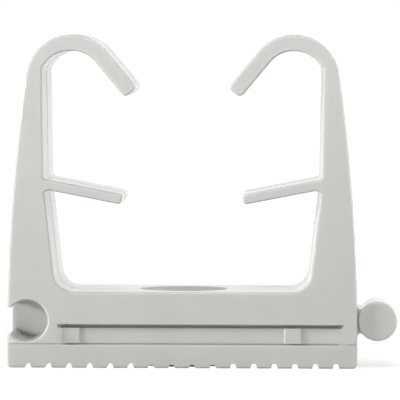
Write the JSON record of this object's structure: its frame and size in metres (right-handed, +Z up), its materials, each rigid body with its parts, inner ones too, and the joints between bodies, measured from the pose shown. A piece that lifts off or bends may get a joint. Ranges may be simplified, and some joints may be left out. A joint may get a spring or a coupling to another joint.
{
  "type": "cable clamp",
  "caption": "Moulded plastic cable clamp: open frame with inward hooks and sprung fingers on a toothed foot, and a side socket and peg for joining clamps in a row.",
  "frame": {"origin": "on the axis of the screw hole, on the plane of the tooth tips under the foot", "axes": "+X from the link socket to the link peg, -Y towards the front that the socket opens to, +Z up from the foot to the hooks"},
  "size_m": [0.057, 0.02, 0.0487],
  "materials": {
    "moulded_plastic": "light grey moulded plastic with a fine satin surface"
  },
  "bodies": {
    "root": {"clamp_body": "moulded_plastic"}
  },
  "joints": []
}
